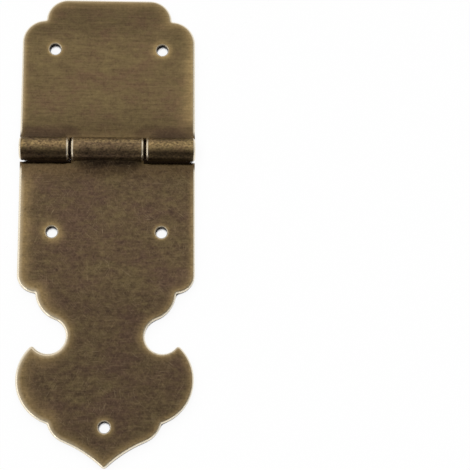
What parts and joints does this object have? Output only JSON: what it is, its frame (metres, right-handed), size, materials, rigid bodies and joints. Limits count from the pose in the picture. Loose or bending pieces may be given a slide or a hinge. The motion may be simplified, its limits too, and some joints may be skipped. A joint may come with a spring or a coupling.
{
  "type": "decorative hinge",
  "caption": "Flat surface hinge of aged sheet brass: a short stepped leaf and a long leaf with necked, lobed and pointed outline, joined by rolled knuckles on a pin.",
  "frame": {"origin": "on the mounting plane of the back faces, under the hinge axis and at mid-width", "axes": "+X along the hinge axis, +Y towards the short leaf, +Z out of the show face"},
  "size_m": [0.04, 0.1086, 0.0054],
  "materials": {
    "aged_brass": "brushed sheet brass with a dark aged patina, rubbed bright along its edges",
    "pin_brass": "drawn brass rod, aged"
  },
  "bodies": {
    "upper_half": {"upper_leaf": "aged_brass", "hinge_pin": "pin_brass"},
    "lower_half": {"lower_leaf": "aged_brass"}
  },
  "joints": [
    {"name": "leaf_hinge", "type": "hinge", "parent": "upper_half", "child": "lower_half", "pos_m": [0, 0, 0.0027], "axis": [-1, 0, 0], "range_deg": [-80, 180]}
  ]
}
